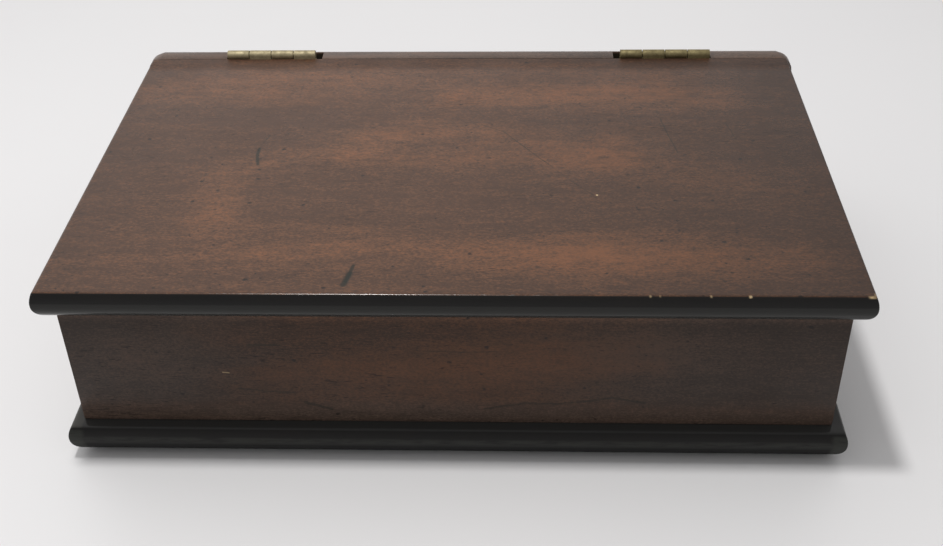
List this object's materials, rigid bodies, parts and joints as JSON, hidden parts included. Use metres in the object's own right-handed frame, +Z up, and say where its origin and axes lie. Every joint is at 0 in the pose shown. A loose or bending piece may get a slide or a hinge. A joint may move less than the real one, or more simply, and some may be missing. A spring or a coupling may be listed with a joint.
{
  "type": "hinged wooden card box",
  "caption": "Book-shaped wooden box for playing cards: nosed lid and base boards, a spine board and two brass butt hinges with proud barrels over felt-lined wells.",
  "frame": {"origin": "underside of the felt pad, below the middle of the box", "axes": "+X along the hinges to the right, +Y from the front towards the spine, +Z up through the lid"},
  "size_m": [0.2328, 0.1514, 0.0638],
  "materials": {
    "mahogany": "clear lacquer, satin, aged",
    "dark_mahogany": "clear lacquer over a dark stain, satin",
    "aged_brass": "dull, tarnished",
    "felt": "short nap wool felt"
  },
  "bodies": {
    "case": {"base_board": "dark_mahogany", "front_wall": "mahogany", "left_wall": "mahogany", "right_wall": "mahogany", "spine_board": "mahogany", "floor_lining": "felt", "front_lining": "felt", "left_lining": "felt", "right_lining": "felt", "rear_lining": "felt", "left_divider": "mahogany", "right_divider": "mahogany", "base_pad": "felt", "left_hinge_case_leaf": "aged_brass", "right_hinge_case_leaf": "aged_brass", "left_hinge_pin": "aged_brass", "right_hinge_pin": "aged_brass", "left_case_leaf_screws": "aged_brass", "right_case_leaf_screws": "aged_brass"},
    "lid": {"lid_board": "mahogany", "lid_lining": "felt", "left_hinge_lid_leaf": "aged_brass", "right_hinge_lid_leaf": "aged_brass", "left_lid_leaf_screws": "aged_brass", "right_lid_leaf_screws": "aged_brass"}
  },
  "joints": [
    {"name": "lid_hinge", "type": "hinge", "parent": "case", "child": "lid", "pos_m": [0, 0.0673, 0.0622], "axis": [-1, 0, 0], "range_deg": [0, 200]}
  ]
}
